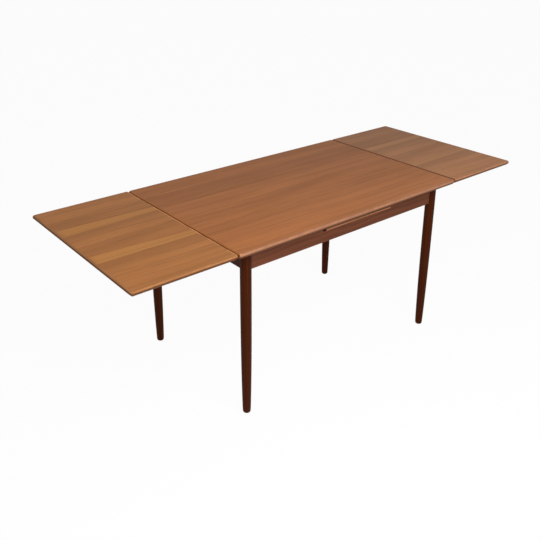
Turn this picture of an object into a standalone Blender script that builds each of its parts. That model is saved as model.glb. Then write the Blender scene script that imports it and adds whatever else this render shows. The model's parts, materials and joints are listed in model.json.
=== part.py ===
"""Extending dining table: a loose main top, and an end leaf on draw-out lopers at each end.

Metres, +Z up, floor at z = 0, +X along the table and the front at -Y.
The pose is the table fully extended, with both leaves level with the main top.
"""

import math

import bmesh
import bpy
from mathutils import Matrix, Vector

# Main top and leaves
TOP_LENGTH = 1.220
TOP_WIDTH = 0.800
TABLE_HEIGHT = 0.750
PANEL_THICKNESS = 0.020
LEAF_LENGTH = 0.428
LEAF_GAP = 0.0015
CORNER_RADIUS = 0.011
EDGE_ROUND = 0.007
EDGE_UNDERCUT = 0.008

# Legs
LEG_DIAMETER = 0.044
FOOT_DIAMETER = 0.032
FOOT_ROUND = 0.009
LEG_INSET_X = 0.078
LEG_INSET_Y = 0.068
LEG_TAPER_POWER = 3.4

# Aprons, with the finger recess in the long ones
APRON_HEIGHT = 0.090
APRON_THICKNESS = 0.020
APRON_SETBACK = 0.013
TENON_THICKNESS = 0.008
TENON_OFFSET = 0.004
TENON_SHOULDER = 0.010
TENON_STOP = 0.004
GRIP_LENGTH = 0.396
GRIP_DEPTH = 0.0375
GRIP_OFFSET = 0.050
GRIP_SLOPE = 0.060

# Corner blocks and leg bolts
BLOCK_SIDE = 0.070
BLOCK_HEIGHT = 0.055
BOLT_DIAMETER = 0.008
BOLT_HEAD_DIAMETER = 0.016
BOLT_HEAD_HEIGHT = 0.006
BOLT_STOP = 0.009

# Centre board and the notched rails under it
BOARD_LENGTH = 0.200
BOARD_CHEEK = 0.0275
BOARD_THICKNESS = 0.020
RAIL_THICKNESS = 0.020
RAIL_SPREAD = 0.100
RAIL_LIFT = 0.010
RAIL_TENON_HEIGHT = 0.030
RAIL_TENON_LENGTH = 0.010

# Lopers and their stop pegs
LOPER_WIDTH = 0.025
LOPER_HEIGHT = 0.030
LOPER_SHORTFALL = 0.050
LOPER_MARGIN = 0.005
LOPER_PITCH = 0.050
PEG_DIAMETER = 0.010
PEG_SEAT = 0.015
PEG_DROP = 0.012
PEG_MARGIN = 0.015

# Dowels under the main top
DOWEL_DIAMETER = 0.012
DOWEL_SEAT = 0.010
DOWEL_DROP = 0.020
DOWEL_EDGE = 0.020
DOWEL_Y = 0.120

# Battens under the leaves
BATTEN_WIDTH = 0.025
BATTEN_HEIGHT = 0.020
BATTEN_LENGTH = 0.300
BATTEN_MARGIN = 0.020

# Fits
SEAT = 0.0003
RUNNING = 0.0005
STEP_CLEARANCE = 0.020
CUT_OVERRUN = 0.010

# Fineness of the round forms
TURN_STEPS = 32
LEG_RINGS = 14
FOOT_STEPS = 4
CORNER_STEPS = 6
ROUND_STEPS = 3
ROD_SIDES = 24
SHARP_ANGLE = math.radians(35)
MERGE_DISTANCE = 0.00001
CARRIER_SIZE = 0.05

# Levels
PANEL_BOTTOM = TABLE_HEIGHT - PANEL_THICKNESS
FRAME_TOP = PANEL_BOTTOM - SEAT
APRON_BOTTOM = FRAME_TOP - APRON_HEIGHT
TENON_TOP = FRAME_TOP - TENON_SHOULDER
TENON_BOTTOM = APRON_BOTTOM + TENON_SHOULDER
GRIP_SILL = FRAME_TOP - GRIP_DEPTH
BOARD_BOTTOM = FRAME_TOP - BOARD_THICKNESS
RAIL_TOP = BOARD_BOTTOM - SEAT
LOPER_BOTTOM = RAIL_TOP - LOPER_HEIGHT
NOTCH_FLOOR = LOPER_BOTTOM - SEAT
RAIL_BOTTOM = APRON_BOTTOM + RAIL_LIFT
RAIL_TENON_TOP = RAIL_BOTTOM + RAIL_TENON_HEIGHT
BLOCK_BOTTOM = (APRON_BOTTOM + FRAME_TOP - BLOCK_HEIGHT) / 2
BOLT_Z = BLOCK_BOTTOM + BLOCK_HEIGHT / 2

# Places in plan
LEG_RADIUS = LEG_DIAMETER / 2
LEG_X = TOP_LENGTH / 2 - LEG_INSET_X
LEG_Y = TOP_WIDTH / 2 - LEG_INSET_Y
APRON_OUTWARD = LEG_RADIUS - APRON_SETBACK - APRON_THICKNESS / 2
APRON_INNER = APRON_OUTWARD - APRON_THICKNESS / 2
BLOCK_CORNER = SEAT - APRON_INNER
BLOCK_REACH = BLOCK_CORNER + BLOCK_SIDE
BLOCK_FACE = (BLOCK_CORNER + BLOCK_SIDE / 2) * math.sqrt(2)
LONG_APRON_Y = LEG_Y + APRON_OUTWARD
END_APRON_X = LEG_X + APRON_OUTWARD
RIGHT_LOPER_Y = LEG_Y - BLOCK_REACH - LOPER_MARGIN - LOPER_WIDTH / 2
LEFT_LOPER_Y = RIGHT_LOPER_Y - LOPER_PITCH
LOPER_YS = {"left": LEFT_LOPER_Y, "right": RIGHT_LOPER_Y}
BOARD_HALF_WIDTH = RIGHT_LOPER_Y + LOPER_WIDTH / 2 + BOARD_CHEEK
RAIL_X = RAIL_SPREAD / 2
RAIL_END_Y = LEG_Y + APRON_INNER + RAIL_TENON_LENGTH - SEAT
LEAF_INNER_X = TOP_LENGTH / 2 + LEAF_GAP
LEAF_OUTER_X = LEAF_INNER_X + LEAF_LENGTH
LOPER_DRAW = LEAF_LENGTH
LOPER_OUTER_X = LEAF_OUTER_X - LOPER_SHORTFALL
LOPER_STEP_X = BOARD_LENGTH / 2 + LOPER_DRAW + STEP_CLEARANCE
PEG_X = RAIL_X + RAIL_THICKNESS / 2 + SEAT + PEG_DIAMETER / 2
LOPER_INNER_X = -(PEG_X + PEG_MARGIN)
DOWEL_X = BOARD_LENGTH / 2 - DOWEL_EDGE

# Turns that stand a flat outline up: along X and Z, or along Y and Z
UP_ALONG_X = Matrix.Rotation(math.pi / 2, 4, "X")
UP_ALONG_Y = Matrix.Rotation(math.pi / 2, 4, "Z") @ UP_ALONG_X

# Quarter turns that bring the front left corner to each of the others
CORNERS = {
    "front_left": (-1, -1, 0.0),
    "front_right": (1, -1, math.pi / 2),
    "back_right": (1, 1, math.pi),
    "back_left": (-1, 1, -math.pi / 2),
}
ENDS = {"left": (-1, math.pi), "right": (1, 0.0)}
SIDES = {"front": -1, "back": 1}


def start_scene():
    """Empty the scene and make one collection for the parts and one for the cutters."""
    for old in list(bpy.data.objects):
        bpy.data.objects.remove(old)
    made = {}
    for name in ("extending_dining_table", "cutters"):
        made[name] = bpy.data.collections.new(name)
        bpy.context.scene.collection.children.link(made[name])
    return made["extending_dining_table"], made["cutters"]


PARTS, CUTTERS = start_scene()


def finish(name, colour, roughness, metallic=0.0):
    """A plain finish in the piece's own colour."""
    material = bpy.data.materials.new(name)
    material.use_nodes = True
    shader = material.node_tree.nodes["Principled BSDF"]
    shader.inputs["Base Color"].default_value = (*colour, 1.0)
    shader.inputs["Roughness"].default_value = roughness
    shader.inputs["Metallic"].default_value = metallic
    return material


TOP_TEAK = finish("top_teak", (0.376, 0.150, 0.062), 0.42)
LEAF_TEAK = finish("leaf_teak", (0.402, 0.178, 0.066), 0.45)
DARK_TEAK = finish("dark_teak", (0.120, 0.040, 0.020), 0.40)
BEECH = finish("beech", (0.520, 0.330, 0.180), 0.55)
STEEL = finish("steel", (0.420, 0.420, 0.430), 0.35, 1.0)


def mesh_object(name, shape):
    """Turn a bmesh into an object, not yet in any collection."""
    mesh = bpy.data.meshes.new(name)
    shape.normal_update()
    shape.to_mesh(mesh)
    shape.free()
    return bpy.data.objects.new(name, mesh)


def cuboid(low, high):
    """A bmesh box between two corners."""
    low = Vector(low)
    high = Vector(high)
    shape = bmesh.new()
    bmesh.ops.create_cube(shape, size=1.0)
    bmesh.ops.scale(shape, vec=high - low, verts=shape.verts)
    bmesh.ops.translate(shape, vec=(low + high) / 2, verts=shape.verts)
    return shape


def box(name, low, high):
    """A square-edged block between two corners."""
    return mesh_object(name, cuboid(low, high))


def rod(name, radius, start, end):
    """A round rod between two points."""
    start = Vector(start)
    end = Vector(end)
    run = end - start
    turn = run.to_track_quat("Z", "Y").to_matrix().to_4x4()
    shape = bmesh.new()
    bmesh.ops.create_cone(
        shape,
        cap_ends=True,
        segments=ROD_SIDES,
        radius1=radius,
        radius2=radius,
        depth=run.length,
        matrix=Matrix.Translation((start + end) / 2) @ turn,
    )
    piece = mesh_object(name, shape)
    shade_round(piece)
    return piece


def shade_round(piece):
    """Smooth shading with sharp arrises."""
    piece.data.shade_smooth()
    piece.data.set_sharp_from_angle(angle=SHARP_ANGLE)


def outline(name, points, thickness, turn):
    """A flat outline of the given thickness, stood up by turn."""
    curve = bpy.data.curves.new(name, "CURVE")
    curve.dimensions = "2D"
    curve.fill_mode = "BOTH"
    curve.extrude = thickness / 2
    spline = curve.splines.new("POLY")
    spline.points.add(len(points) - 1)
    for corner, (across, up) in zip(spline.points, points):
        corner.co = (across, up, 0.0, 1.0)
    spline.use_cyclic_u = True
    guide = bpy.data.objects.new(name, curve)
    PARTS.objects.link(guide)
    graph = bpy.context.evaluated_depsgraph_get()
    flat = bpy.data.meshes.new_from_object(guide.evaluated_get(graph))
    bpy.data.objects.remove(guide)
    bpy.data.curves.remove(curve)
    shape = bmesh.new()
    shape.from_mesh(flat)
    bpy.data.meshes.remove(flat)
    bmesh.ops.remove_doubles(shape, verts=shape.verts, dist=MERGE_DISTANCE)
    bmesh.ops.transform(shape, matrix=turn, verts=shape.verts)
    bmesh.ops.recalc_face_normals(shape, faces=shape.faces)
    return mesh_object(name, shape)


def turned(name, profile):
    """A turned piece from its profile, which runs down the outer side."""
    mesh = bpy.data.meshes.new(name)
    points = [(radius, 0.0, height) for radius, height in profile]
    mesh.from_pydata(points, [(i, i + 1) for i in range(len(points) - 1)], [])
    piece = bpy.data.objects.new(name, mesh)
    screw = piece.modifiers.new("turn", "SCREW")
    screw.axis = "Z"
    screw.angle = math.tau
    screw.steps = TURN_STEPS
    screw.render_steps = TURN_STEPS
    screw.use_merge_vertices = True
    screw.merge_threshold = MERGE_DISTANCE
    screw.use_smooth_shade = True
    return piece


def combine(piece, tool, operation):
    """Cut a tool from a piece, or join it on. The tool keeps the piece's own frame."""
    CUTTERS.objects.link(tool)
    tool.parent = piece
    tool.hide_render = True
    tool.display_type = "WIRE"
    boolean = piece.modifiers.new(tool.name, "BOOLEAN")
    boolean.operation = operation
    boolean.solver = "EXACT"
    boolean.object = tool


def cut(piece, tool):
    """Take a tool's shape out of a piece."""
    combine(piece, tool, "DIFFERENCE")


def join(piece, tool):
    """Make a tool's shape part of a piece."""
    combine(piece, tool, "UNION")


def carrier(name, place):
    """An empty on a joint's axis, which carries the pieces that move together."""
    empty = bpy.data.objects.new(name, None)
    empty.empty_display_size = CARRIER_SIZE
    empty.location = place
    PARTS.objects.link(empty)
    return empty


def put(piece, material, parent, place=(0.0, 0.0, 0.0), turn=0.0):
    """Finish a piece and set it at a place in the table's frame, under its carrier."""
    PARTS.objects.link(piece)
    piece.data.materials.append(material)
    piece.parent = parent
    piece.location = Vector(place) - parent.location
    piece.rotation_euler = (0.0, 0.0, turn)
    return piece


def panel(name, length):
    """A top or leaf board about its own middle: round in plan, rounded above and undercut below."""
    half = Vector((length / 2, TOP_WIDTH / 2, 0.0))
    shape = cuboid(-half, half + Vector((0.0, 0.0, PANEL_THICKNESS)))
    upright = [e for e in shape.edges if abs(e.verts[0].co.z - e.verts[1].co.z) > PANEL_THICKNESS / 2]
    bevel(shape, upright, CORNER_RADIUS, CORNER_STEPS)
    for facing, width, steps in ((1.0, EDGE_ROUND, ROUND_STEPS), (-1.0, EDGE_UNDERCUT, 1)):
        shape.normal_update()
        flat = max(shape.faces, key=lambda f: f.normal.z * facing)
        bevel(shape, list(flat.edges), width, steps)
    piece = mesh_object(name, shape)
    shade_round(piece)
    return piece


def bevel(shape, edges, width, steps):
    """Chamfer some edges in one step, or round them in several."""
    bmesh.ops.bevel(
        shape,
        geom=edges,
        offset=width,
        offset_type="OFFSET",
        segments=steps,
        profile=0.5,
        affect="EDGES",
    )


def leg_radius_at(height):
    """The leg's radius: full at the top, drawn in by a power curve towards the foot."""
    down = 1.0 - height / FRAME_TOP
    return LEG_RADIUS - (LEG_DIAMETER - FOOT_DIAMETER) / 2 * down**LEG_TAPER_POWER


def make_leg(corner, frame):
    """A turned leg, mortised for two aprons and bored for its bolt, in the front left corner's sense."""
    name = "leg_" + corner
    heights = [FRAME_TOP + (FOOT_ROUND - FRAME_TOP) * i / LEG_RINGS for i in range(LEG_RINGS + 1)]
    profile = [(0.0, FRAME_TOP)]
    profile += [(leg_radius_at(height), height) for height in heights]
    for step in range(1, FOOT_STEPS + 1):
        angle = math.pi / 2 * step / FOOT_STEPS
        inset = FOOT_ROUND * (1.0 - math.cos(angle))
        profile.append((FOOT_DIAMETER / 2 - inset, FOOT_ROUND * (1.0 - math.sin(angle))))
    profile.append((0.0, 0.0))
    leg = turned(name, profile)
    half = TENON_THICKNESS / 2 + SEAT
    low = TENON_BOTTOM - SEAT
    high = TENON_TOP + SEAT
    start = TENON_STOP - SEAT
    end = LEG_RADIUS + CUT_OVERRUN
    middle = -APRON_OUTWARD - TENON_OFFSET
    near = middle - half
    far = middle + half
    cut(leg, box(name + "_mortise_x", (start, near, low), (end, far, high)))
    cut(leg, box(name + "_mortise_y", (near, start, low), (far, end, high)))
    cut(leg, bolt_bore(name + "_bore", BOLT_STOP - SEAT, LEG_RADIUS + CUT_OVERRUN))
    side_x, side_y, turn = CORNERS[corner]
    put(leg, DARK_TEAK, frame, (side_x * LEG_X, side_y * LEG_Y, 0.0), turn)


def diagonal(reach, height):
    """A point on the corner's diagonal, at a distance from the leg's axis."""
    return Vector((reach / math.sqrt(2), reach / math.sqrt(2), height))


def bolt_bore(name, start, end):
    """A cutter for the bolt's hole, along the corner's diagonal."""
    return rod(name, BOLT_DIAMETER / 2 + SEAT, diagonal(start, BOLT_Z), diagonal(end, BOLT_Z))


def make_corner_block(corner, frame):
    """A three-cornered block behind the leg, against both aprons."""
    name = "corner_block_" + corner
    points = [(BLOCK_CORNER, BLOCK_CORNER), (BLOCK_REACH, BLOCK_CORNER), (BLOCK_CORNER, BLOCK_REACH)]
    block = outline(name, points, BLOCK_HEIGHT, Matrix.Translation((0.0, 0.0, BOLT_Z)))
    low = BLOCK_BOTTOM - CUT_OVERRUN
    high = BLOCK_BOTTOM + BLOCK_HEIGHT + CUT_OVERRUN
    cut(block, rod(name + "_leg_room", LEG_RADIUS + SEAT, (0.0, 0.0, low), (0.0, 0.0, high)))
    cut(block, bolt_bore(name + "_bore", LEG_RADIUS - CUT_OVERRUN, BLOCK_FACE + CUT_OVERRUN))
    side_x, side_y, turn = CORNERS[corner]
    put(block, BEECH, frame, (side_x * LEG_X, side_y * LEG_Y, 0.0), turn)


def make_leg_bolt(corner, frame):
    """A bolt through the corner block into the leg, its head on the block's long face."""
    shank = BLOCK_FACE + SEAT - BOLT_STOP
    radius = BOLT_DIAMETER / 2
    head = BOLT_HEAD_DIAMETER / 2
    tip = shank + BOLT_HEAD_HEIGHT
    profile = [(0.0, tip), (head, tip), (head, shank), (radius, shank), (radius, 0.0), (0.0, 0.0)]
    bolt = turned("leg_bolt_" + corner, profile)
    side_x, side_y, turn = CORNERS[corner]
    along = Matrix.Rotation(turn, 3, "Z") @ diagonal(1.0, 0.0)
    place = Vector((side_x * LEG_X, side_y * LEG_Y, BOLT_Z)) + along * BOLT_STOP
    put(bolt, STEEL, frame, place)
    bolt.rotation_euler = along.to_track_quat("Z", "Y").to_euler()


def tenoned_apron(name, half_length):
    """An apron scribed to the rounds of two legs, with a tenon set outward into each. Local +Y is inward."""
    half = APRON_THICKNESS / 2
    apron = box(name, (-half_length, -half, APRON_BOTTOM), (half_length, half, FRAME_TOP))
    low = APRON_BOTTOM - CUT_OVERRUN
    high = FRAME_TOP + CUT_OVERRUN
    for label, side in (("a", -1), ("b", 1)):
        axis = (side * half_length, APRON_OUTWARD)
        cut(apron, rod(name + "_scribe_" + label, LEG_RADIUS + SEAT, (*axis, low), (*axis, high)))
    reach = half_length - TENON_STOP
    outer = -TENON_OFFSET - TENON_THICKNESS / 2
    inner = -TENON_OFFSET + TENON_THICKNESS / 2
    join(apron, box(name + "_tenon", (-reach, outer, TENON_BOTTOM), (reach, inner, TENON_TOP)))
    return apron


def make_long_apron(side, frame):
    """The front or back apron: the same piece, turned round."""
    name = "apron_" + side
    apron = tenoned_apron(name, LEG_X)
    rise = (GRIP_DEPTH + CUT_OVERRUN) / GRIP_DEPTH
    sill = [GRIP_OFFSET - GRIP_LENGTH / 2, GRIP_OFFSET + GRIP_LENGTH / 2]
    brim = [sill[0] - GRIP_SLOPE * rise, sill[1] + GRIP_SLOPE * rise]
    over = FRAME_TOP + CUT_OVERRUN
    points = [(sill[0], GRIP_SILL), (sill[1], GRIP_SILL), (brim[1], over), (brim[0], over)]
    cut(apron, outline(name + "_grip", points, APRON_THICKNESS + CUT_OVERRUN, UP_ALONG_X))
    depth = APRON_THICKNESS / 2 - RAIL_TENON_LENGTH
    half = RAIL_THICKNESS / 2 + SEAT
    for label, x in (("a", -RAIL_X), ("b", RAIL_X)):
        low = (x - half, depth, RAIL_BOTTOM - SEAT)
        high = (x + half, APRON_THICKNESS / 2 + CUT_OVERRUN, RAIL_TENON_TOP + SEAT)
        cut(apron, box(name + "_mortise_" + label, low, high))
    turn = 0.0 if side == "front" else math.pi
    put(apron, DARK_TEAK, frame, (0.0, SIDES[side] * LONG_APRON_Y, 0.0), turn)


def make_end_apron(end, frame):
    """An end apron, with an open notch for each of its own lopers."""
    name = "apron_" + end
    apron = tenoned_apron(name, LEG_Y)
    half = LOPER_WIDTH / 2 + RUNNING
    deep = APRON_THICKNESS
    for side, sign in SIDES.items():
        across = sign * LOPER_YS[end]
        low = (across - half, -deep, NOTCH_FLOOR)
        high = (across + half, deep, FRAME_TOP + CUT_OVERRUN)
        cut(apron, box(name + "_notch_" + side, low, high))
    sign, turn = ENDS[end]
    put(apron, DARK_TEAK, frame, (sign * END_APRON_X, 0.0, 0.0), turn + math.pi / 2)


def make_guide_rail(end, frame):
    """A cross rail under the centre board, tenoned into the long aprons and notched for all four lopers."""
    half = LOPER_WIDTH / 2 + RUNNING
    points = [(-RAIL_END_Y, RAIL_TENON_TOP), (-RAIL_END_Y, RAIL_BOTTOM)]
    points += [(RAIL_END_Y, RAIL_BOTTOM), (RAIL_END_Y, RAIL_TENON_TOP)]
    points += [(BOARD_HALF_WIDTH, RAIL_TENON_TOP), (BOARD_HALF_WIDTH, RAIL_TOP)]
    centres = [sign * y for sign in (1, -1) for y in LOPER_YS.values()]
    for y in sorted(centres, reverse=True):
        points += [(y + half, RAIL_TOP), (y + half, NOTCH_FLOOR)]
        points += [(y - half, NOTCH_FLOOR), (y - half, RAIL_TOP)]
    points += [(-BOARD_HALF_WIDTH, RAIL_TOP), (-BOARD_HALF_WIDTH, RAIL_TENON_TOP)]
    rail = outline("guide_rail_" + end, points, RAIL_THICKNESS, UP_ALONG_Y)
    sign, _ = ENDS[end]
    put(rail, BEECH, frame, (sign * RAIL_X, 0.0, 0.0))


def dowel_places():
    """The name and plan place of each dowel under the main top."""
    for end, (sign_x, _) in ENDS.items():
        for side, sign_y in SIDES.items():
            yield f"{side}_{end}", sign_x * DOWEL_X, sign_y * DOWEL_Y


def make_centre_board(frame):
    """The board over the guide rails, bored for the main top's dowels."""
    low = (-BOARD_LENGTH / 2, -BOARD_HALF_WIDTH, BOARD_BOTTOM)
    high = (BOARD_LENGTH / 2, BOARD_HALF_WIDTH, FRAME_TOP)
    board = box("centre_board", low, high)
    for label, x, y in dowel_places():
        start = (x, y, BOARD_BOTTOM - CUT_OVERRUN)
        end = (x, y, FRAME_TOP + CUT_OVERRUN)
        cut(board, rod("centre_board_hole_" + label, DOWEL_DIAMETER / 2 + SEAT, start, end))
    put(board, BEECH, frame)


def make_main_top():
    """The loose main top and its four dowels, which slide in the centre board."""
    lift = carrier("main_top_lift", (0.0, 0.0, PANEL_BOTTOM))
    top = panel("main_top", TOP_LENGTH)
    for label, x, y in dowel_places():
        start = (x, y, -CUT_OVERRUN)
        end = (x, y, DOWEL_SEAT)
        cut(top, rod("main_top_socket_" + label, DOWEL_DIAMETER / 2 + SEAT, start, end))
        foot = (x, y, BOARD_BOTTOM - DOWEL_DROP)
        head = (x, y, PANEL_BOTTOM + DOWEL_SEAT - SEAT)
        put(rod("top_dowel_" + label, DOWEL_DIAMETER / 2, foot, head), BEECH, lift)
    put(top, TOP_TEAK, lift, (0.0, 0.0, PANEL_BOTTOM))


def make_leaf(end):
    """A loose end leaf, with a batten beside each of its lopers."""
    sign, turn = ENDS[end]
    middle = sign * (LEAF_INNER_X + LEAF_LENGTH / 2)
    lift = carrier(end + "_leaf_lift", (middle, 0.0, PANEL_BOTTOM))
    put(panel(end + "_leaf", LEAF_LENGTH), LEAF_TEAK, lift, (middle, 0.0, PANEL_BOTTOM), turn)
    outer = LOPER_OUTER_X - BATTEN_MARGIN
    inner = LOPER_YS[end] + LOPER_WIDTH / 2 + RUNNING
    for side, sign_y in SIDES.items():
        low = (-BATTEN_LENGTH / 2, -BATTEN_WIDTH / 2, -BATTEN_HEIGHT)
        high = (BATTEN_LENGTH / 2, BATTEN_WIDTH / 2, 0.0)
        batten = box(f"leaf_batten_{end}_{side}", low, high)
        place = (sign * (outer - BATTEN_LENGTH / 2), sign_y * (inner + BATTEN_WIDTH / 2), FRAME_TOP)
        put(batten, BEECH, lift, place)


def make_loper(end, side):
    """A draw-out bearer: full height outside, stepped down inside to pass under the centre board."""
    name = f"loper_{end}_{side}"
    sign, turn = ENDS[end]
    across = SIDES[side] * LOPER_YS[end]
    draw = carrier(name + "_draw", (0.0, across, LOPER_BOTTOM))
    points = [(LOPER_INNER_X, LOPER_BOTTOM), (LOPER_OUTER_X, LOPER_BOTTOM), (LOPER_OUTER_X, FRAME_TOP)]
    points += [(LOPER_STEP_X, FRAME_TOP), (LOPER_STEP_X, RAIL_TOP - SEAT), (LOPER_INNER_X, RAIL_TOP - SEAT)]
    loper = outline(name, points, LOPER_WIDTH, UP_ALONG_X)
    start = (-PEG_X, 0.0, LOPER_BOTTOM - CUT_OVERRUN)
    end_point = (-PEG_X, 0.0, LOPER_BOTTOM + PEG_SEAT + SEAT)
    cut(loper, rod(name + "_socket", PEG_DIAMETER / 2 + SEAT, start, end_point))
    put(loper, BEECH, draw, (0.0, across, 0.0), turn)
    foot = (-sign * PEG_X, across, LOPER_BOTTOM - PEG_DROP)
    head = (-sign * PEG_X, across, LOPER_BOTTOM + PEG_SEAT)
    put(rod(f"stop_peg_{end}_{side}", PEG_DIAMETER / 2, foot, head), BEECH, draw)


def make_frame():
    """Everything that stays put when the table is extended."""
    frame = carrier("table_frame", (0.0, 0.0, 0.0))
    for corner in CORNERS:
        make_leg(corner, frame)
        make_corner_block(corner, frame)
        make_leg_bolt(corner, frame)
    for side in SIDES:
        make_long_apron(side, frame)
    for end in ENDS:
        make_end_apron(end, frame)
        make_guide_rail(end, frame)
    make_centre_board(frame)


def make_table():
    """The whole table, each piece under the carrier it moves with."""
    make_frame()
    make_main_top()
    for end in ENDS:
        make_leaf(end)
        for side in SIDES:
            make_loper(end, side)
    bpy.context.view_layer.update()


make_table()
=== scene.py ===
"""Dresses the extending dining table: finished pieces on its frame, a plain stage and a camera.

Metres, in the table's own frame. In each piece's own frame the grain runs along X.
"""

import json
import math

import bmesh
import bpy
from bpy.props import FloatProperty, FloatVectorProperty, PointerProperty
from mathutils import Matrix, Vector


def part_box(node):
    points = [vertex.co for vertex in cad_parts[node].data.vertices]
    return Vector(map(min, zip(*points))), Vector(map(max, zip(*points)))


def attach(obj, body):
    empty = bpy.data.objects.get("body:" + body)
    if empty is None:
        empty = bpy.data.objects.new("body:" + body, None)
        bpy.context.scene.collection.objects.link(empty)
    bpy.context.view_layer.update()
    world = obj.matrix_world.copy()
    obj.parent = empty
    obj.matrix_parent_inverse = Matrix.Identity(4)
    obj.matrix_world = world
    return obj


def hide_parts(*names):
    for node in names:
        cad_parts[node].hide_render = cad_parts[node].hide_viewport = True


bl_info = {
    "name": "Extending dining table",
    "version": (1, 0, 0),
    "blender": (4, 5, 0),
    "location": "3D View > Sidebar > Table",
    "description": "Builds the finished pieces of an extending teak dining table on its frame",
    "category": "Object",
}

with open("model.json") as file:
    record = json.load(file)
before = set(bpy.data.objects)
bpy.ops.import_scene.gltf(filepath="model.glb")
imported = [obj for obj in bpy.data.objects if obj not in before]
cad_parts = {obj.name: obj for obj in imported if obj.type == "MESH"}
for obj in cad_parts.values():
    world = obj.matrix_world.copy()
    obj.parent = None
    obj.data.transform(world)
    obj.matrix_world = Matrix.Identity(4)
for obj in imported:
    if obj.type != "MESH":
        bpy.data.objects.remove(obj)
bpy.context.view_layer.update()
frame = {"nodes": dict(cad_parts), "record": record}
NODES = frame["nodes"]
BODY_OF = {node: body for body, nodes in frame["record"]["behaviour"]["bodies"].items() for node in nodes}

CORNERS = ("front_left", "front_right", "back_right", "back_left")
ENDS = ("left", "right")
SIDES = ("front", "back")
WHITE = (1.0, 1.0, 1.0, 1.0)

# Which way a piece's own X, the grain, lies on the table
ALONG = {
    "X": Matrix.Identity(4),
    "Y": Matrix.Rotation(math.pi / 2, 4, "Z"),
    "Z": Matrix.Rotation(-math.pi / 2, 4, "Y"),
}

# How many steps or sides the rounds are cut into
CORNER_STEPS = 8
EDGE_STEPS = 8
FOOT_STEPS = 6
TAPER_STEPS = 48
LIP_STEPS = 6
ARRIS_STEPS = 2
SLOT_STEPS = 17
LEG_SIDES = 64
ROD_SIDES = 48
BOLT_SIDES = 32
WASHER_SIDES = 40
HEXAGON_SIDES = 6

# Points that count as one, cuts that meet a point, heights that are level, and angles between faces
SAME_POINT = 0.00002
SAME_CUT = 0.00001
LEVEL = 0.0001
FLAT_ANGLE = math.radians(1)
SQUARE_ANGLE = math.radians(30)

# A slanting direction, along which the parts of a cut shape are put in order
ORDER = Vector((1.0, 0.3719, 0.1237))

# Shapes of the pieces
LEG_TAPER_POWER = 3.4
SMALLEST_CORNER = 0.0006
UNDER_RIM = 0.02
SILL_MARGIN = 0.02
FLUTE_EVERY = 4
POINT_CHAMFER = 0.0010
CROWN_CHAMFER = 0.0006
SCREW_INSET = 0.035
SCREW_TURNS = (0.4, 1.3, 2.2)

# Shares of a radius: a rod's chamfer, and a screw's slot by its depth, half width and how proud the head is
ROD_CHAMFER = 0.18
SLOT_DEPTH = 0.20
SLOT_HALF = 0.14
HEAD_PROUD = 0.05

# Strips of a panel's edge that hands rub, counted down from the top face, and how much more its corners wear
END_RUBBED = (0, 1, 2)
LONG_RUBBED = (3, 4, 5, 6, 7, 8, 10, 11)
CORNER_RUBBED = (0, 1, 2, 3, 4, 5)
CORNER_WEAR = 3.0

# How pale the rubbed strips of the panels' edges are
NO_WEAR = 0.0
OUTER_WEAR = 0.1
LONG_WEAR = 0.15
# On the left seam the pale strip is partly wear and partly a painted highlight on the leaf's arris
SEAM_WEAR_AND_HIGHLIGHT = 1.4

# Heights on the panels' edges between which the painted shade from below fades out: the shade under the
# rounded edges and in the seams, painted dark
TOP_LONG_PAINTED_SHADE = (0.0080, 0.0120)
TOP_END_PAINTED_SHADE = (0.0155, 0.0197)
LEAF_LONG_PAINTED_SHADE = (0.0125, 0.0165)
LEAF_OUTER_PAINTED_SHADE = (0.0145, 0.0185)
LEFT_SEAM_PAINTED_SHADE = (0.0186, 0.0195)
RIGHT_SEAM_PAINTED_SHADE = (0.0192, 0.0201)

# How much paler each panel is painted for every metre towards the front: painted light that falls off from
# the front towards the back
TOP_PAINTED_FALLOFF = 0.46
LEFT_PAINTED_FALLOFF = 0.24
RIGHT_PAINTED_FALLOFF = 0.64

# Flames of the leaves' veneer: half widths at the broad end and at the tip, and for each flame
# where its middle lies across the leaf and how far it drifts on its way to the tip
LEFT_BROAD = 0.034
RIGHT_BROAD = 0.022
FLAME_TIP = 0.020
LEFT_FLAMES = ((0.157, -0.003), (-0.120, -0.016))
RIGHT_FLAMES = ((0.149, 0.0), (-0.139, 0.0))
FLAME_REACH = 0.26
FLAME_START = (-0.235, -0.175)
FLAME_RIM = (0.84, 1.06)
FLAME_DARK = (0.0, 0.005, 0.095)

# Gloss, relief and pores of the finishes
VENEER_GLOSS = 0.06
TIMBER_GLOSS = 0.05
STEEL_GLOSS = 0.5
RELIEF_STRENGTH = 0.7
WOOD_RELIEF = 0.00012
STEEL_RELIEF = 0.00008
PORES = (0.60, 0.74)
JOINT = (0.0016, 0.0004)

# Floor and lamp
FLOOR_REACH = 60.0
FLOOR_DROP = 0.001
FLOOR_ROUGHNESS = 0.9
FLOOR_WHITE = 0.95
KEY_SIZE = 2.2
KEY_PLACE = (-0.9, -2.2, 2.1)
KEY_AIM = (0.0, 0.0, 0.6)

# Camera, for a square picture
CAMERA_PLACE = (-1.9296, -2.1579, 1.8400)
CAMERA_PITCH = 21.552
CAMERA_TURN = -38.674
CAMERA_LENS = 46.614
CAMERA_SHIFT = (0.0200, -0.1370)


def length(name, description, default):
    """A size in metres that a user may change."""
    return FloatProperty(
        name=name, description=description, default=default, min=0.0, unit="LENGTH", precision=4
    )


def colour(name, description, default):
    """A finish's colour that a user may change."""
    return FloatVectorProperty(
        name=name, description=description, default=default, size=3, min=0.0, max=1.0, subtype="COLOR"
    )


def level(name, description, default):
    """A light's level that a user may change."""
    return FloatProperty(name=name, description=description, default=default, min=0.0)


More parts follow.
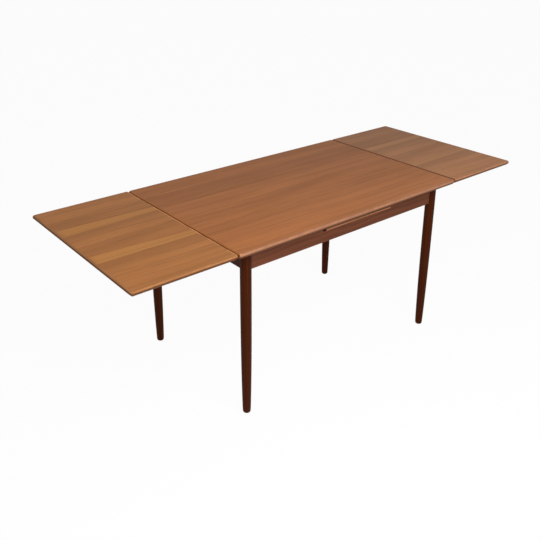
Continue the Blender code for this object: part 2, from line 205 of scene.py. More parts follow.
class TableSizes(bpy.types.PropertyGroup):
    """Sizes of the finished pieces."""

    corner_radius: length("Corner radius", "Round of the panels' corners in plan", 0.011)
    edge_round: length("Edge round", "Round of the panels' upper edge", 0.007)
    top_undercut: length("Top undercut", "Chamfer under the main top's edge", 0.006)
    leaf_undercut: length("Leaf undercut", "Chamfer under the leaves' edge", 0.0095)
    lipping: length("Lipping", "Width of the solid strip round each panel", 0.008)
    veneer_width: length("Veneer width", "Width of one leaf of veneer", 0.134)
    arris: length("Eased arris", "How far the square edges are eased", 0.0008)
    grip_lip: length("Grip lip", "Round of the finger recess's sill", 0.0045)
    # This length is how far the painted shadow reaches along the sill from its left end
    sill_shadow_length: length("Sill shadow length", "Length of the painted shadow at the sill's left end", 0.018)
    foot_diameter: length("Foot diameter", "Diameter of a leg at the floor", 0.032)
    foot_round: length("Foot round", "Round of a leg's lower edge", 0.009)
    flute_depth: length("Flute depth", "Depth of the grooves along the dowels and pegs", 0.0003)
    screw_diameter: length("Screw head", "Diameter of the screw heads under the battens", 0.0085)


class TableColours(bpy.types.PropertyGroup):
    """Colours of the finishes and of the floor."""

    top_veneer: colour("Top veneer", "Reddish teak of the main top", (0.372, 0.132, 0.040))
    left_veneer: colour("Left leaf veneer", "Yellower teak of the left leaf", (0.396, 0.155, 0.046))
    left_streak: colour("Left leaf streak", "Pale flames in the left leaf's veneer", (0.470, 0.200, 0.053))
    # Painted sheen: the right leaf's veneer and flames are greyer and bluer than the left's, for the sheen on
    # the far leaf
    right_veneer: colour("Right leaf veneer", "Teak of the right leaf, greyed by painted sheen", (0.380, 0.163, 0.065))
    right_streak: colour("Right leaf streak", "Pale flames in the right leaf's veneer", (0.420, 0.188, 0.074))
    top_lipping: colour("Top lipping", "Solid edge of the main top", (0.330, 0.149, 0.080))
    left_lipping: colour("Left leaf lipping", "Solid edge of the left leaf", (0.335, 0.144, 0.056))
    # Painted sheen: the right lipping is greyer and bluer, for the sheen on the far leaf
    right_lipping: colour("Right leaf lipping", "Solid edge of the right leaf, greyed by painted sheen", (0.392, 0.180, 0.096))
    backing: colour("Backing veneer", "Plain veneer under the panels", (0.230, 0.110, 0.055))
    apron: colour("Apron", "Teak of the long aprons", (0.126, 0.041, 0.020))
    # Painted shade: the end aprons share the long aprons' teak, painted darker for the shade under the leaves
    end_apron: colour("End apron", "Teak of the end aprons, darkened as painted shade", (0.062, 0.017, 0.007))
    # Painted highlight: the sill is painted pale for the light that the top's overhang keeps off it
    sill: colour("Sill", "Sill of the finger recess, painted pale as a highlight", (0.440, 0.190, 0.090))
    # Painted shadow: the sill's dark left end stands in for the shadow that the recess's end casts on it
    sill_end: colour("Sill end", "Painted shadow on the left end of the sill", (0.020, 0.006, 0.003))
    leg: colour("Leg", "Dark teak of the legs", (0.047, 0.0084, 0.0008))
    beech: colour("Beech", "Pale wood of the inner frame", (0.480, 0.300, 0.160))
    steel: colour("Steel", "Bolts and screws", (0.420, 0.410, 0.400))
    floor: colour("Floor", "Pale floor under the table", (0.900, 0.900, 0.900))


class TableLight(bpy.types.PropertyGroup):
    """Levels of the studio light."""

    room: level("Room light", "Soft light from all round", 0.34)
    key: level("Key light", "Large soft lamp in front of the table, to the left", 84.0)


class Tone:
    """A socket of a finish's nodes that takes part in sums."""

    def __init__(self, tree, socket=None):
        self.tree = tree
        self.socket = socket

    def add(self, kind, settings, values, output=0):
        """Add any node: its settings first, then the values or links of its sockets."""
        node = self.tree.nodes.new(kind)
        for key, value in settings.items():
            setattr(node, key, value)
        for key, value in values.items():
            if isinstance(value, Tone):
                self.tree.links.new(value.socket, node.inputs[key])
            else:
                node.inputs[key].default_value = value
        return Tone(self.tree, node.outputs[output])

    def math(self, operation, first, second=0.0):
        """A Math node on one or two values."""
        return self.add("ShaderNodeMath", {"operation": operation}, {0: first, 1: second})

    def __add__(self, other):
        return self.math("ADD", self, other)

    def __radd__(self, other):
        return self.math("ADD", other, self)

    def __sub__(self, other):
        return self.math("SUBTRACT", self, other)

    def __rsub__(self, other):
        return self.math("SUBTRACT", other, self)

    def __mul__(self, other):
        return self.math("MULTIPLY", self, other)

    def __rmul__(self, other):
        return self.math("MULTIPLY", other, self)

    def __truediv__(self, other):
        return self.math("DIVIDE", self, other)

    def __rtruediv__(self, other):
        return self.math("DIVIDE", other, self)

    def __pow__(self, other):
        return self.math("POWER", self, other)

    def __rpow__(self, other):
        return self.math("POWER", other, self)

    def __abs__(self):
        return self.math("ABSOLUTE", self)


def rising(value, low, high):
    """Zero below low, one above high and smooth between."""
    values = {"Value": value, "From Min": low, "From Max": high}
    return value.add("ShaderNodeMapRange", {"interpolation_type": "SMOOTHSTEP"}, values)


def cloud(start, place, detail, roughness=0.5):
    """Noise at a place given as three values, already scaled."""
    vector = start.add("ShaderNodeCombineXYZ", {}, dict(enumerate(place)))
    values = {"Vector": vector, "Scale": 1.0, "Detail": detail, "Roughness": roughness}
    return start.add("ShaderNodeTexNoise", {}, values)


def mixed(factor, first, second):
    """A colour between two others."""
    settings = {"data_type": "RGBA", "clamp_factor": True}
    return factor.add("ShaderNodeMix", settings, {0: factor, 6: first, 7: second}, 2)


def shade(base, light, warmth=1.0):
    """A colour lighter or darker than another, and warmer or cooler, with its alpha."""
    red, green, blue = base
    return (min(red * light * warmth, 1.0), min(green * light, 1.0), min(blue * light / warmth, 1.0), 1.0)


def blank_finish(name, gloss):
    """A new material, the start of its sums and its shader. The gloss is the same all over."""
    material = bpy.data.materials.new(name)
    material.use_nodes = True
    shader = material.node_tree.nodes["Principled BSDF"]
    shader.inputs["Specular IOR Level"].default_value = gloss
    return material, Tone(material.node_tree), shader


def piece_place(start):
    """Where a point lies in its piece: along the grain and the two ways across it."""
    where = start.add("ShaderNodeTexCoord", {}, {}, "Object")
    return [start.add("ShaderNodeSeparateXYZ", {}, {0: where}, axis) for axis in range(3)]


def lay_on(start, shader, base, roughness, height, depth):
    """Join the colour, the roughness and the relief to the shader."""
    values = {"Strength": RELIEF_STRENGTH, "Distance": depth, "Height": height}
    relief = start.add("ShaderNodeBump", {}, values)
    for key, value in (("Base Color", base), ("Roughness", roughness), ("Normal", relief)):
        start.tree.links.new(value.socket, shader.inputs[key])


def flame(along, across, broad, middle, drift):
    """A pale flame in a leaf's veneer, drawn in to the right, and the darker wood on its near side."""
    way = rising(along, -FLAME_REACH, FLAME_REACH)
    half = broad + (FLAME_TIP - broad) * way
    off = across - middle - drift * way
    inside = 1.0 - rising(abs(off) / half, *FLAME_RIM)
    pale = inside * rising(along, *FLAME_START) * (1.0 - 0.25 * way)
    beyond = 0.0 - half - off
    near, full, far = FLAME_DARK
    dark = rising(beyond, near, full) * (1.0 - rising(beyond, full, far))
    return pale, dark


def veneer(name, base, width, lean, streak=None, broad=0.0, flames=()):
    """Oiled teak veneer in leaves laid side by side, painted paler towards the front by the falloff given,
    which stands in for light falling off towards the back.

    Places are multiplied by waves a metre, and luck sets each leaf of veneer apart from the next."""
    material, start, shader = blank_finish(name, VENEER_GLOSS)
    along, across, _ = piece_place(start)
    wander = cloud(start, (along * 1.3, across * 2.6, 0.0), 2.0) - 0.5
    leaf = across / width
    number = start.math("FLOOR", leaf)
    luck = start.add("ShaderNodeTexWhiteNoise", {"noise_dimensions": "1D"}, {"W": number}, "Value")
    line = across + wander * 0.045 + luck * 0.35
    bands = cloud(start, (along * 1.6 + luck * 9.0, line * 34.0, luck * 5.0), 4.0, 0.6)
    streaks = rising(cloud(start, (along * 0.9 + luck * 5.0, line * 120.0, luck * 8.0), 3.0), 0.50, 0.72)
    fibres = cloud(start, (along * 7.0, line * 430.0, luck * 3.0), 2.0)
    pores = rising(cloud(start, (along * 42.0, line * 1300.0, 2.0), 1.0), *PORES)
    drawn = line * 21.0 + cloud(start, (along * 1.1, across * 7.0, luck * 4.0), 2.0) * 2.2 + fibres * 0.10
    from_ring = abs(start.math("FRACT", drawn) - 0.5)
    broken = rising(cloud(start, (along * 5.0, line * 30.0, 9.0), 3.0), 0.35, 0.60)
    ring = (1.0 - rising(from_ring, 0.012, 0.055)) * broken
    patches = cloud(start, (along * 2.2, across * 3.1, 7.0), 2.0)
    from_middle = abs(start.math("FRACT", leaf) - 0.5) * width
    joint = rising(from_middle, *(width / 2 - edge for edge in JOINT))
    # Painted light: the across term makes the panel paler at the front and darker at the back, as the lamp's
    # falloff
    tone = bands * 0.55 + fibres * 0.30 + luck * 0.22 + patches * 0.30 - across * lean - 0.17
    look = mixed(rising(tone, 0.12, 0.92), shade(base, 0.70, 1.02), shade(base, 1.30, 0.99))
    look = mixed(streaks * 0.20 + ring * 0.55, look, shade(base, 0.45))
    for middle, drift in flames:
        pale, dark = flame(along, across, broad, middle, drift)
        look = mixed(dark * 0.55, look, shade(base, 0.72))
        look = mixed(pale * (0.60 + fibres * 0.6), look, shade(streak, 1.0))
    look = mixed(pores * 0.42, look, shade(base, 0.45))
    look = mixed(joint * 0.60, look, shade(base, 0.40))
    roughness = 0.44 + fibres * 0.10 + pores * 0.12 - patches * 0.06
    lay_on(start, shader, look, roughness, fibres * 0.25 - pores - joint * 0.6, WOOD_RELIEF)
    return material


def solid_wood(name, base, across_table=False, fineness=1.0, contrast=1.0, wear=0.65, painted_shade=None):
    """Solid timber cut from one log, with its pores, rubbed arrises and, where asked, painted shade darkening
    it towards the bottom.

    Places are multiplied by waves a metre, and luck sets each piece apart from the next."""
    material, start, shader = blank_finish(name, TIMBER_GLOSS)
    along, across, deep = piece_place(start)
    if across_table:
        along, across = across, along
    luck = start.add("ShaderNodeObjectInfo", {}, {}, "Random")
    wander = cloud(start, (along * 2.4 + luck * 17.0, across * 9.0, deep * 9.0), 2.0) - 0.5
    side = across + 0.075 + luck * 0.05
    below = deep + 0.040 + luck * 0.03
    reach = (side * side + below * below) ** 0.5 + wander * 0.022
    rings = start.math("SINE", reach * (700.0 * fineness)) * 0.5 + 0.5
    broad = cloud(start, (along * 3.0 + luck * 31.0, reach * 90.0, luck * 3.0), 3.0)
    fibres = cloud(start, (along * 9.0 + luck * 7.0, across * 480.0, deep * 480.0), 2.0)
    pores = rising(cloud(start, (along * 50.0, across * 1300.0, deep * 1300.0), 1.0), *PORES)
    tone = broad * 0.70 + fibres * 0.35 + rings * 0.22 - 0.14
    spread = 0.32 * contrast
    look = mixed(rising(tone, 0.15, 0.90), shade(base, 1.0 - spread), shade(base, 1.0 + spread))
    look = mixed(pores * 0.45, look, shade(base, 0.48))
    edge = start.add("ShaderNodeAttribute", {"attribute_name": "arris"}, {}, "Fac")
    rubbed = edge * rising(cloud(start, (along * 26.0, across * 60.0, deep * 60.0), 3.0), 0.38, 0.62)
    look = mixed(rubbed * wear, look, shade(base, 2.10))
    # Painted shade: the piece is painted darker towards the bottom, below the heights given, as the shade
    # under an edge or in a seam
    if painted_shade is not None:
        look = mixed(1.0 - rising(deep, *painted_shade), look, shade(base, 0.30, 1.2))
    roughness = 0.46 + fibres * 0.10 + pores * 0.14 - rubbed * 0.12
    lay_on(start, shader, look, roughness, fibres * 0.3 - pores, WOOD_RELIEF)
    return material


def zinc_steel(name, base):
    """Zinc-plated steel, dulled in spots and scratched."""
    material, start, shader = blank_finish(name, STEEL_GLOSS)
    along, across, deep = piece_place(start)
    shader.inputs["Metallic"].default_value = 1.0
    spots = rising(cloud(start, (along * 420.0, across * 420.0, deep * 420.0), 4.0), 0.45, 0.75)
    scratches = cloud(start, (along * 90.0, across * 3200.0, deep * 3200.0), 2.0)
    look = mixed(spots, shade(base, 1.10), shade(base, 0.55, 1.06))
    roughness = 0.28 + spots * 0.25 + scratches * 0.15
    lay_on(start, shader, look, roughness, scratches * 0.3 - spots * 0.5, STEEL_RELIEF)
    return material


def finish_named(name, maker, base, **look):
    """A finish made once and shared by the pieces that use it."""
    return bpy.data.materials.get(name) or maker(name, base, **look)


def lipping(name, base, across_table, wear, painted_shade):
    """The solid edge of a panel, painted darker below the heights given as painted shade."""
    look = {"across_table": across_table, "contrast": 0.5, "wear": wear, "painted_shade": painted_shade}
    return finish_named(name, solid_wood, base, **look)


def plain_beech(colours):
    """The beech that all of the inner frame shares."""
    return finish_named("beech", solid_wood, colours.beech, fineness=1.4, contrast=0.45)


def plated_steel(colours):
    """The steel that bolts and screws share."""
    return finish_named("zinc_steel", zinc_steel, colours.steel)


def new_piece(name, shape, finishes, place):
    """Turn a bmesh in a piece's own frame into an object in its place."""
    mesh = bpy.data.meshes.new(name)
    shape.normal_update()
    shape.to_mesh(mesh)
    shape.free()
    for finish in finishes:
        mesh.materials.append(finish)
    piece = bpy.data.objects.new(name, mesh)
    bpy.context.scene.collection.objects.link(piece)
    piece.matrix_world = place
    return piece


def stand_for(piece, slot, *nodes):
    """Let a finished piece ride with the frame's nodes that it stands for."""
    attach(piece, BODY_OF[nodes[0]])
    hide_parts(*nodes)


def middle_of(node):
    """The middle of a node's box."""
    low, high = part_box(node)
    return (low + high) / 2


def skirt(shape, upper, lower):
    """Join two rings of points by faces, all the way round."""
    faces = []
    for side in range(len(upper)):
        after = (side + 1) % len(upper)
        faces.append(shape.faces.new((upper[side], lower[side], lower[after], upper[after])))
    return faces


def quarter_round(radius, steps):
    """A round edge, as pairs of how far in from the side and how far from the end."""
    turns = [math.pi / 2 * step / steps for step in range(steps + 1)]
    return [(radius * (1 - math.sin(turn)), radius * (1 - math.cos(turn))) for turn in turns]


def soften(shape, edges, width, steps, rub, finish=0):
    """Round some edges, mark how far hands have rubbed them and give them the finish of that number."""
    worn = shape.faces.layers.float.get("arris")
    made = bmesh.ops.bevel(
        shape, geom=edges, offset=width, offset_type="OFFSET", segments=steps, profile=0.5,
        affect="EDGES", clamp_overlap=True
    )
    for face in made["faces"]:
        face[worn] = rub
        face.material_index = finish
        face.smooth = True


def on_sill(edge, node):
    """Whether an edge is the outer one of a finger recess's sill, well inside the apron's height."""
    low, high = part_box(node)
    first, second = [vertex.co for vertex in edge.verts]
    flat = abs(first.z - second.z) < LEVEL
    inside = low.z + SILL_MARGIN < first.z < high.z - SILL_MARGIN
    outside = all(abs(end.y) > abs(low.y + high.y) / 2 for end in (first, second))
    return flat and inside and outside


def put_in_order(shape):
    """Order a shape's parts by where they lie, since cuts may leave them in another order each run."""
    shape.verts.sort(key=lambda vertex: vertex.co.dot(ORDER))
    shape.edges.sort(key=lambda edge: (edge.verts[0].co + edge.verts[1].co).dot(ORDER))
    shape.faces.sort(key=lambda face: face.calc_center_median().dot(ORDER))


def round_sill(shape, node, lip, stop):
    """Round the outer lip of a finger recess's sill and give it the second finish, a painted highlight.

    It takes the third, a painted shadow, over the stop's length from its left end, seen from outside."""
    sill = next(edge for edge in shape.edges if on_sill(edge, node))
    left, right = sorted((vertex.co.copy() for vertex in sill.verts), key=lambda end: -end.x * end.y)
    for end in (left, left + (right - left).normalized() * stop, right):
        whole = [*shape.verts, *shape.edges, *shape.faces]
        bmesh.ops.bisect_plane(shape, geom=whole, dist=SAME_CUT, plane_co=end, plane_no=(1.0, 0.0, 0.0))
    soften(shape, [edge for edge in shape.edges if on_sill(edge, node)], lip, LIP_STEPS, 0.0, 1)
    for face in shape.faces:
        middle = face.calc_center_median()
        if left.z - lip < middle.z < left.z + LEVEL and abs(middle.x - left.x) < stop:
            face.material_index = 2


def eased(node, name, grain, arris, finishes, slot, lip=0.0, stop=0.0):
    """A square-cut piece of the frame with its arrises eased by hand, and the lip of any sill rounded."""
    place = Matrix.Translation(middle_of(node)) @ ALONG[grain]
    shape = bmesh.new()
    shape.from_mesh(NODES[node].data)
    bmesh.ops.remove_doubles(shape, verts=shape.verts, dist=SAME_POINT)
    bmesh.ops.dissolve_limit(shape, angle_limit=FLAT_ANGLE, verts=shape.verts, edges=shape.edges)
    shape.faces.layers.float.new("arris")
    for face in shape.faces:
        face.smooth = False
    if lip > 0.0:
        round_sill(shape, node, lip, stop)
    shape.normal_update()
    square = [edge for edge in shape.edges if edge.is_manifold and edge.calc_face_angle() > SQUARE_ANGLE]
    soften(shape, square, arris, ARRIS_STEPS, 1.0)
    put_in_order(shape)
    bmesh.ops.transform(shape, matrix=place.inverted(), verts=shape.verts)
    stand_for(new_piece(name, shape, finishes, place), slot, node)


def lathe(shape, profile, sides, waver=None):
    """Turn a profile of places along X and radii into a closed skin. A waver lowers some of the sides."""
    rings = []
    for along, radius in profile:
        ring = []
        for side in range(sides):
            turn = math.tau * side / sides
            reach = radius - (waver(side) if waver else 0.0)
            ring.append(shape.verts.new((along, reach * math.cos(turn), reach * math.sin(turn))))
        rings.append(ring)
    for lower, upper in zip(rings, rings[1:]):
        for face in skirt(shape, upper, lower):
            face.smooth = True
    shape.faces.new(rings[0][::-1])
    shape.faces.new(rings[-1])
    bmesh.ops.recalc_face_normals(shape, faces=shape.faces)


def panel_ring(half_x, half_y, radius):
    """The points of a rounded oblong, in order, all the way round."""
    points = []
    for quarter, (sign_x, sign_y) in enumerate(((1, 1), (-1, 1), (-1, -1), (1, -1))):
        for step in range(CORNER_STEPS + 1):
            turn = math.pi / 2 * (quarter + step / CORNER_STEPS)
            x = sign_x * (half_x - radius) + radius * math.cos(turn)
            y = sign_y * (half_y - radius) + radius * math.sin(turn)
            points.append((x, y))
    return points


def panel_profile(sizes, thick, under):
    """How the panel's edge runs from the top face to the under face: how far in, and how high."""
    soft = sizes.arris
    nick = soft * 0.2
    profile = [(sizes.lipping, thick)]
    profile += [(inset, thick - drop) for inset, drop in quarter_round(sizes.edge_round, EDGE_STEPS)]
    profile += [(0.0, under + soft), (nick, under), (soft, under - soft)]
    profile += [(under - soft, soft), (under, nick), (under + soft, 0.0), (under + UNDER_RIM, 0.0)]
    return profile


def make_panel(node, name, sizes, under, finishes, slot, outer=0):
    """A veneered panel with a solid lipping all round, rounded above and undercut below.

    Its finishes are those of its top face, long edges, ends and under face, in that order.
    Its outer end, at -1 or 1 along X if it has one, takes a fifth."""
    low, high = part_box(node)
    half = (high - low) / 2
    shape = bmesh.new()
    worn = shape.faces.layers.float.new("arris")
    profile = panel_profile(sizes, high.z - low.z, under)
    rings = []
    for inset, height in profile:
        radius = max(sizes.corner_radius - inset, SMALLEST_CORNER)
        points = panel_ring(half.x - inset, half.y - inset, radius)
        rings.append([shape.verts.new((x, y, height)) for x, y in points])
    for strip, (upper, lower) in enumerate(zip(rings, rings[1:])):
        for side, face in enumerate(skirt(shape, upper, lower)):
            out = upper[side].co.xy + upper[(side + 1) % len(upper)].co.xy
            at_end = half.x - abs(out.x) / 2 < half.y - abs(out.y) / 2
            face.material_index = 1
            if at_end:
                face.material_index = 4 if out.x * outer > 0.0 else 2
            face.smooth = 0 < strip < len(profile) - 2
            face[worn] = float(strip in (END_RUBBED if at_end else LONG_RUBBED))
            in_corner = side % (CORNER_STEPS + 1) < CORNER_STEPS
            if in_corner and strip in CORNER_RUBBED:
                face[worn] = CORNER_WEAR
    shape.faces.new(rings[0]).material_index = 0
    shape.faces.new(rings[-1][::-1]).material_index = 3
    bmesh.ops.recalc_face_normals(shape, faces=shape.faces)
    place = Matrix.Translation((*middle_of(node).xy, low.z))
    stand_for(new_piece(name, shape, finishes, place), slot, node)


def rod_piece(node, name, sizes, finish, slot):
    """A fluted wooden dowel or peg with chamfered ends."""
    low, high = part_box(node)
    radius = (high.x - low.x) / 2
    reach = (high.z - low.z) / 2
    chamfer = radius * ROD_CHAMFER
    shape = bmesh.new()
    profile = [(-reach, radius - chamfer), (-reach + chamfer, radius)]
    profile += [(reach - chamfer, radius), (reach, radius - chamfer)]
    lathe(shape, profile, ROD_SIDES, lambda side: sizes.flute_depth if side % FLUTE_EVERY == 0 else 0.0)
    place = Matrix.Translation(middle_of(node)) @ ALONG["Z"]
    stand_for(new_piece(name, shape, [finish], place), slot, node)


def slotted_head(shape, along, radius, turn):
    """A countersunk screw head that looks down, its slot turned as the driver left it."""
    deep = radius * SLOT_DEPTH
    proud = radius * HEAD_PROUD
    reach = math.acos(SLOT_HALF)
    turns = []
    for side in (0.0, math.pi):
        turns += [turn + side + reach * (2 * step / (SLOT_STEPS - 1) - 1) for step in range(SLOT_STEPS)]
    rings = []
    for height in (deep * 2, deep, -proud):
        points = [(along + radius * math.cos(t), radius * math.sin(t), height) for t in turns]
        rings.append([shape.verts.new(point) for point in points])
    back, floor, crown = rings
    shape.faces.new(back)
    skirt(shape, back, floor)
    shape.faces.new((floor[0], floor[SLOT_STEPS - 1], floor[SLOT_STEPS], floor[-1]))
    for half in (slice(0, SLOT_STEPS), slice(SLOT_STEPS, None)):
        shape.faces.new(crown[half])
        skirt(shape, floor[half], crown[half])
    bmesh.ops.recalc_face_normals(shape, faces=shape.faces)


class TABLE_OT_panels(bpy.types.Operator):
    """Build the main top and the two end leaves"""

    bl_idname = "table.panels"
    bl_label = "Main top and leaves"

    def execute(self, context):
        sizes = context.scene.table_sizes
        colours = context.scene.table_colours
        width = sizes.veneer_width
        backing = finish_named("backing_veneer", veneer, colours.backing, width=width, lean=0.0)
        finishes = [
            finish_named("top_veneer", veneer, colours.top_veneer, width=width, lean=TOP_PAINTED_FALLOFF),
            lipping("top_lipping_long", colours.top_lipping, False, LONG_WEAR, TOP_LONG_PAINTED_SHADE),
            lipping("top_lipping_end", colours.top_veneer, True, NO_WEAR, TOP_END_PAINTED_SHADE),
            backing,
        ]
        make_panel("main_top", "veneered_main_top", sizes, sizes.top_undercut, finishes, "top_teak")
        left_look = {"lean": LEFT_PAINTED_FALLOFF, "broad": LEFT_BROAD, "flames": LEFT_FLAMES}
        left_look["streak"] = colours.left_streak
        right_look = {"lean": RIGHT_PAINTED_FALLOFF, "broad": RIGHT_BROAD, "flames": RIGHT_FLAMES}
        right_look["streak"] = colours.right_streak
        left = (-1, colours.left_veneer, left_look, colours.left_lipping, SEAM_WEAR_AND_HIGHLIGHT, LEFT_SEAM_PAINTED_SHADE)
        right = (1, colours.right_veneer, right_look, colours.right_lipping, NO_WEAR, RIGHT_SEAM_PAINTED_SHADE)
        for end, (outer, base, look, edge, seam_wear_and_highlight, seam_painted_shade) in zip(ENDS, (left, right)):
            finishes = [
                finish_named(end + "_leaf_veneer", veneer, base, width=width, **look),
                lipping(end + "_lipping_long", edge, False, LONG_WEAR, LEAF_LONG_PAINTED_SHADE),
                lipping(end + "_lipping_seam", edge, True, seam_wear_and_highlight, seam_painted_shade),
                backing,
                lipping(end + "_lipping_outer", edge, True, OUTER_WEAR, LEAF_OUTER_PAINTED_SHADE),
            ]
            name = f"veneered_{end}_leaf"
            make_panel(end + "_leaf", name, sizes, sizes.leaf_undercut, finishes, "leaf_teak", outer)
        return {"FINISHED"}


class TABLE_OT_legs(bpy.types.Operator):
    """Build the four turned legs"""

    bl_idname = "table.legs"
    bl_label = "Turned legs"

    def execute(self, context):
        sizes = context.scene.table_sizes
        colours = context.scene.table_colours
        finish = finish_named("leg_teak", solid_wood, colours.leg, fineness=0.8, contrast=0.9)
        foot = sizes.foot_diameter / 2
        for corner in CORNERS:
            node = "leg_" + corner
            low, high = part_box(node)
            full = (high.x - low.x) / 2
            profile = [(rise, foot - inset) for inset, rise in quarter_round(sizes.foot_round, FOOT_STEPS)]
            for step in range(1, TAPER_STEPS + 1):
                height = sizes.foot_round + (high.z - sizes.foot_round) * step / TAPER_STEPS
                drawn_in = (full - foot) * (1 - height / high.z) ** LEG_TAPER_POWER
                profile.append((height, full - drawn_in))
            shape = bmesh.new()
            lathe(shape, profile, LEG_SIDES)
            place = Matrix.Translation((*middle_of(node).xy, 0.0)) @ ALONG["Z"]
            stand_for(new_piece("turned_leg_" + corner, shape, [finish], place), "dark_teak", node)
        return {"FINISHED"}


class TABLE_OT_aprons(bpy.types.Operator):
    """Build the long aprons with their finger recesses, and the notched end aprons"""

    bl_idname = "table.aprons"
    bl_label = "Aprons"

    def execute(self, context):
        sizes = context.scene.table_sizes
        arris = sizes.arris
        colours = context.scene.table_colours
        # The second finish paints a highlight on the sill's lip, and the third paints a shadow on its left
        # end
        finishes = [
            finish_named("apron_teak", solid_wood, colours.apron, contrast=0.8),
            finish_named("sill_painted_highlight", solid_wood, colours.sill, contrast=0.5, wear=NO_WEAR),
            finish_named("sill_painted_shadow", solid_wood, colours.sill_end, contrast=0.5, wear=NO_WEAR),
        ]
        # Painted shade: the end aprons' teak is darkened for the shade that the leaves cast on them
        dark = finish_named("end_apron_painted_shade", solid_wood, colours.end_apron, contrast=0.8)
        lip = (sizes.grip_lip, sizes.sill_shadow_length)
        for side in SIDES:
            eased("apron_" + side, "long_apron_" + side, "X", arris, finishes, "dark_teak", *lip)
        for end in ENDS:
            eased("apron_" + end, "end_apron_" + end, "Y", arris, [dark], "dark_teak")
        return {"FINISHED"}


class TABLE_OT_corner_fittings(bpy.types.Operator):
    """Build the corner blocks and the bolts that hold the legs"""

    bl_idname = "table.corner_fittings"
    bl_label = "Corner blocks and bolts"

    def execute(self, context):
        arris = context.scene.table_sizes.arris
        colours = context.scene.table_colours
        wood = plain_beech(colours)
        steel = plated_steel(colours)
        for corner in CORNERS:
            eased("corner_block_" + corner, "beech_block_" + corner, "X", arris, [wood], "beech")
            self.bolt(corner, steel)
        return {"FINISHED"}

    def bolt(self, corner, steel):
        """A hexagon-headed bolt and its washer, along the corner's diagonal."""
        node = "leg_bolt_" + corner
        axis = middle_of("leg_" + corner).xy
        way = (middle_of(node).xy - axis).normalized()
        reach = [(vertex.co.xy - axis).dot(way) for vertex in NODES[node].data.vertices]
        start = min(reach)
        end = max(reach) - start
        low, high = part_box(node)
        head = (high.z - low.z) / 2
        shank = head * 0.5
        point = head * 0.38
        flats = head * 0.92
        crown = head * 0.80
        under = end - head * 0.75
        shank_end = end - head * 0.7
        seat = end - head * 0.60
        small = head * head * 0.1
        shape = bmesh.new()
        lathe(shape, [(0.0, point), (POINT_CHAMFER, shank), (shank_end, shank)], BOLT_SIDES)
        lathe(shape, [(under, head), (seat, head)], WASHER_SIDES)
        lathe(shape, [(seat, flats), (end - CROWN_CHAMFER, flats), (end, crown)], HEXAGON_SIDES)
        for face in shape.faces:
            face.smooth = len(face.verts) == 4 and face.calc_area() < small
        place = Matrix.Translation((*(axis + way * start), middle_of(node).z))
        place = place @ Matrix.Rotation(math.atan2(way.y, way.x), 4, "Z")
        stand_for(new_piece("hexagon_bolt_" + corner, shape, [steel], place), "steel", node)


class TABLE_OT_centre_frame(bpy.types.Operator):
    """Build the notched guide rails and the centre board over them"""

    bl_idname = "table.centre_frame"
    bl_label = "Guide rails and centre board"

    def execute(self, context):
        arris = context.scene.table_sizes.arris
        wood = plain_beech(context.scene.table_colours)
        for end in ENDS:
            eased("guide_rail_" + end, "notched_rail_" + end, "Y", arris, [wood], "beech")
        eased("centre_board", "bored_centre_board", "Y", arris, [wood], "beech")
        return {"FINISHED"}


class TABLE_OT_lopers(bpy.types.Operator):
    """Build the draw-out lopers and their stop pegs"""

    bl_idname = "table.lopers"
    bl_label = "Lopers and stop pegs"

    def execute(self, context):
        sizes = context.scene.table_sizes
        wood = plain_beech(context.scene.table_colours)
        for end in ENDS:
            for side in SIDES:
                tail = f"{end}_{side}"
                eased("loper_" + tail, "stepped_loper_" + tail, "X", sizes.arris, [wood], "beech")
                rod_piece("stop_peg_" + tail, "fluted_peg_" + tail, sizes, wood, "beech")
        return {"FINISHED"}


class TABLE_OT_battens(bpy.types.Operator):
    """Build the leaves' locating battens with their screws"""

    bl_idname = "table.battens"
    bl_label = "Leaf battens"

    def execute(self, context):
        sizes = context.scene.table_sizes
        colours = context.scene.table_colours
        wood = plain_beech(colours)
        steel = plated_steel(colours)
        for end in ENDS:
            for side in SIDES:
                tail = f"{end}_{side}"
                node = "leaf_batten_" + tail
                eased(node, "screwed_batten_" + tail, "X", sizes.arris, [wood], "beech")
                self.screws(node, "batten_screws_" + tail, sizes.screw_diameter / 2, steel)
        return {"FINISHED"}

    def screws(self, node, name, radius, steel):
        """Three slotted screw heads, flush in a batten's under face."""
        low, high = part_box(node)
        reach = (high.x - low.x) / 2 - SCREW_INSET
        shape = bmesh.new()
        for along, turn in zip((-reach, 0.0, reach), SCREW_TURNS):
            slotted_head(shape, along, radius, turn)
        place = Matrix.Translation((*middle_of(node).xy, low.z))
        piece = new_piece(name, shape, [steel], place)
        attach(piece, BODY_OF[node])


class TABLE_OT_dowels(bpy.types.Operator):
    """Build the dowels that guide the main top"""

    bl_idname = "table.dowels"
    bl_label = "Top dowels"

    def execute(self, context):
        sizes = context.scene.table_sizes
        wood = plain_beech(context.scene.table_colours)
        for side in SIDES:
            for end in ENDS:
                rod_piece(f"top_dowel_{side}_{end}", f"fluted_dowel_{side}_{end}", sizes, wood, "beech")
        return {"FINISHED"}


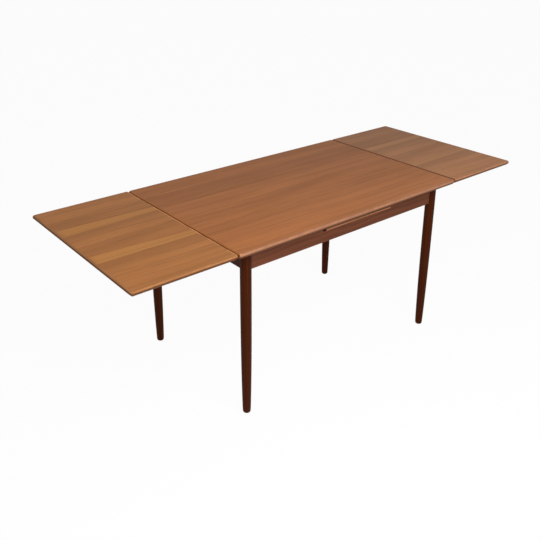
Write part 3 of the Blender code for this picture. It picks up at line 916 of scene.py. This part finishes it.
class TABLE_OT_stage(bpy.types.Operator):
    """Build the floor, the soft light and the camera"""

    bl_idname = "table.stage"
    bl_label = "Stage"

    def execute(self, context):
        scene = context.scene
        scene.view_settings.view_transform = "Standard"
        self.floor(scene.table_colours.floor)
        self.room_light(scene, scene.table_light.room)
        self.key_light(scene, scene.table_light.key)
        self.camera(scene)
        return {"FINISHED"}

    def seen(self, start):
        """One for rays that the camera, a mirror or a glass looks along."""
        kinds = ("Is Camera Ray", "Is Glossy Ray", "Is Transmission Ray")
        first, second, third = [start.add("ShaderNodeLightPath", {}, {}, kind) for kind in kinds]
        return start.math("MAXIMUM", start.math("MAXIMUM", first, second), third)

    def floor(self, base):
        """A plain pale floor that keeps the table's shadow."""
        shape = bmesh.new()
        bmesh.ops.create_grid(shape, x_segments=8, y_segments=8, size=FLOOR_REACH)
        material, start, shader = blank_finish("pale_floor", 0.0)
        shader.inputs["Base Color"].default_value = (*base, 1.0)
        shader.inputs["Roughness"].default_value = FLOOR_ROUGHNESS
        white = start.add("ShaderNodeEmission", {}, {"Color": WHITE, "Strength": 1.0})
        body = Tone(start.tree, shader.outputs["BSDF"])
        both = start.add("ShaderNodeMixShader", {}, {0: self.seen(start) * FLOOR_WHITE, 1: body, 2: white})
        start.tree.links.new(both.socket, start.tree.nodes["Material Output"].inputs["Surface"])
        new_piece("studio_floor", shape, [material], Matrix.Translation((0.0, 0.0, -FLOOR_DROP)))

    def room_light(self, scene, strength):
        """A white room that lights the table at a plain level."""
        world = bpy.data.worlds.new("studio_room")
        world.use_nodes = True
        start = Tone(world.node_tree)
        lit = start.add("ShaderNodeBackground", {}, {"Color": WHITE, "Strength": strength})
        shown = start.add("ShaderNodeBackground", {}, {"Color": WHITE, "Strength": 1.0})
        both = start.add("ShaderNodeMixShader", {}, {0: self.seen(start), 1: lit, 2: shown})
        start.tree.links.new(both.socket, start.tree.nodes["World Output"].inputs["Surface"])
        scene.world = world

    def key_light(self, scene, power):
        """A large soft lamp in front of the table, to the left."""
        lamp = bpy.data.lights.new("soft_key", "AREA")
        lamp.energy = power
        lamp.size = KEY_SIZE
        holder = bpy.data.objects.new("soft_key", lamp)
        scene.collection.objects.link(holder)
        holder.location = KEY_PLACE
        aim = Vector(KEY_AIM) - holder.location
        holder.rotation_euler = aim.to_track_quat("-Z", "Y").to_euler()

    def camera(self, scene):
        """The camera at the height and turn of the picture."""
        eye = bpy.data.cameras.new("picture_camera")
        eye.lens = CAMERA_LENS
        eye.shift_x, eye.shift_y = CAMERA_SHIFT
        holder = bpy.data.objects.new("picture_camera", eye)
        scene.collection.objects.link(holder)
        holder.location = CAMERA_PLACE
        holder.rotation_euler = (math.radians(90 - CAMERA_PITCH), 0.0, math.radians(CAMERA_TURN))
        scene.camera = holder


class TABLE_PT_pieces(bpy.types.Panel):
    """Lists the table's pieces, sizes, colours and lights"""

    bl_idname = "TABLE_PT_pieces"
    bl_label = "Extending dining table"
    bl_space_type = "VIEW_3D"
    bl_region_type = "UI"
    bl_category = "Table"

    def draw(self, context):
        for operator in OPERATORS:
            self.layout.operator(operator.bl_idname)
        for group in (context.scene.table_sizes, context.scene.table_colours, context.scene.table_light):
            box = self.layout.box()
            for key in group.__annotations__:
                box.prop(group, key)


GROUPS = (TableSizes, TableColours, TableLight)
OPERATORS = (
    TABLE_OT_panels,
    TABLE_OT_legs,
    TABLE_OT_aprons,
    TABLE_OT_corner_fittings,
    TABLE_OT_centre_frame,
    TABLE_OT_lopers,
    TABLE_OT_battens,
    TABLE_OT_dowels,
    TABLE_OT_stage,
)
CLASSES = (*GROUPS, *OPERATORS, TABLE_PT_pieces)


def register():
    for one in CLASSES:
        bpy.utils.register_class(one)
    bpy.types.Scene.table_sizes = PointerProperty(type=TableSizes)
    bpy.types.Scene.table_colours = PointerProperty(type=TableColours)
    bpy.types.Scene.table_light = PointerProperty(type=TableLight)


def unregister():
    del bpy.types.Scene.table_light
    del bpy.types.Scene.table_colours
    del bpy.types.Scene.table_sizes
    for one in reversed(CLASSES):
        bpy.utils.unregister_class(one)


def main():
    """Build every piece and the stage."""
    register()
    bpy.ops.table.panels()
    bpy.ops.table.legs()
    bpy.ops.table.aprons()
    bpy.ops.table.corner_fittings()
    bpy.ops.table.centre_frame()
    bpy.ops.table.lopers()
    bpy.ops.table.battens()
    bpy.ops.table.dowels()
    bpy.ops.table.stage()
    bpy.context.view_layer.update()


if __name__ == "__main__":
    main()
